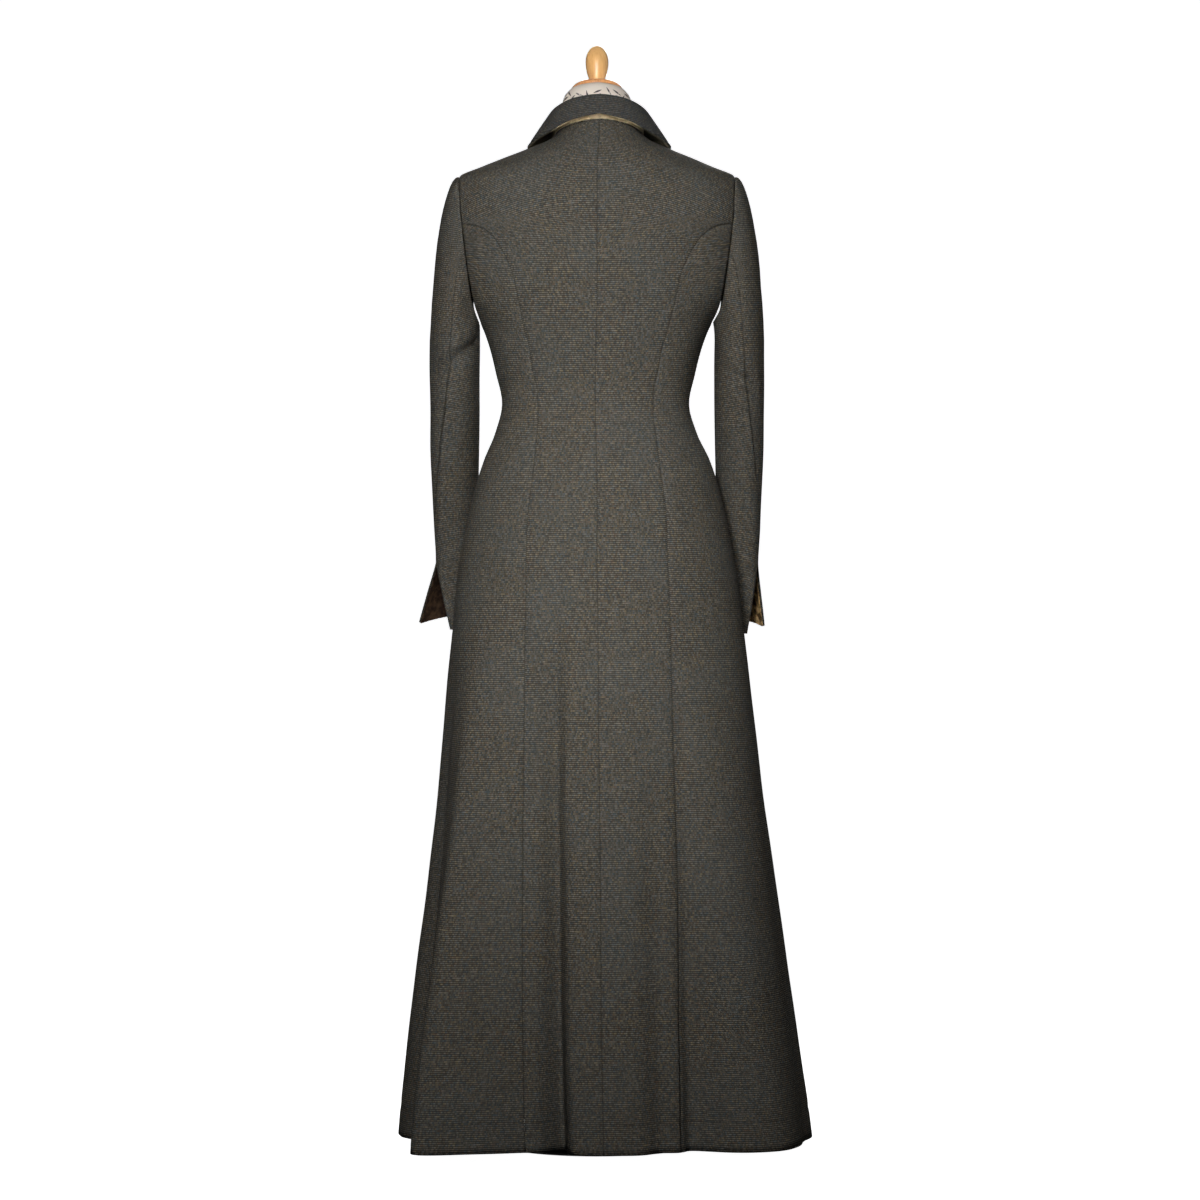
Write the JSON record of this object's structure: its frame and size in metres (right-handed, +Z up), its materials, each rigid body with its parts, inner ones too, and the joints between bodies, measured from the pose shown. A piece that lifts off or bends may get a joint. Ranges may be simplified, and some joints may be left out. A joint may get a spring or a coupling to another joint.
{
  "type": "full-length fitted tweed coat on a limbless dress form with pole stand",
  "caption": "Full-length fitted and flared tweed coat with turn-down collar and open cuff vents, worn on a limbless dress form whose pole stands on a round base.",
  "frame": {"origin": "middle of the stand base's underside, on the floor under the neck", "axes": "+Z up, the coat's back faces +Y and its front -Y, the wearer's left is +X"},
  "size_m": [0.56, 0.436, 1.4847],
  "materials": {
    "tweed": "wool tweed with a fine crosswise rib and flecks",
    "velvet": "crushed velvet",
    "form_cover": "printed cotton cover, stretched over the form",
    "beech": "satin lacquer",
    "stand_steel": "brushed"
  },
  "bodies": {
    "root": {"centre_back_left": "tweed", "centre_back_right": "tweed", "side_back_left": "tweed", "side_back_right": "tweed", "side_front_left": "tweed", "side_front_right": "tweed", "centre_front_left": "tweed", "centre_front_right": "tweed", "top_sleeve_left": "tweed", "top_sleeve_right": "tweed", "under_sleeve_left": "tweed", "under_sleeve_right": "tweed", "cuff_facing_left": "velvet", "cuff_facing_right": "velvet", "top_collar": "tweed", "under_collar": "velvet", "button_1": "tweed", "button_2": "tweed", "button_3": "tweed", "button_4": "tweed", "form_torso": "form_cover", "neck_cap": "beech", "finial": "beech", "pole": "stand_steel", "base": "stand_steel"}
  },
  "joints": []
}
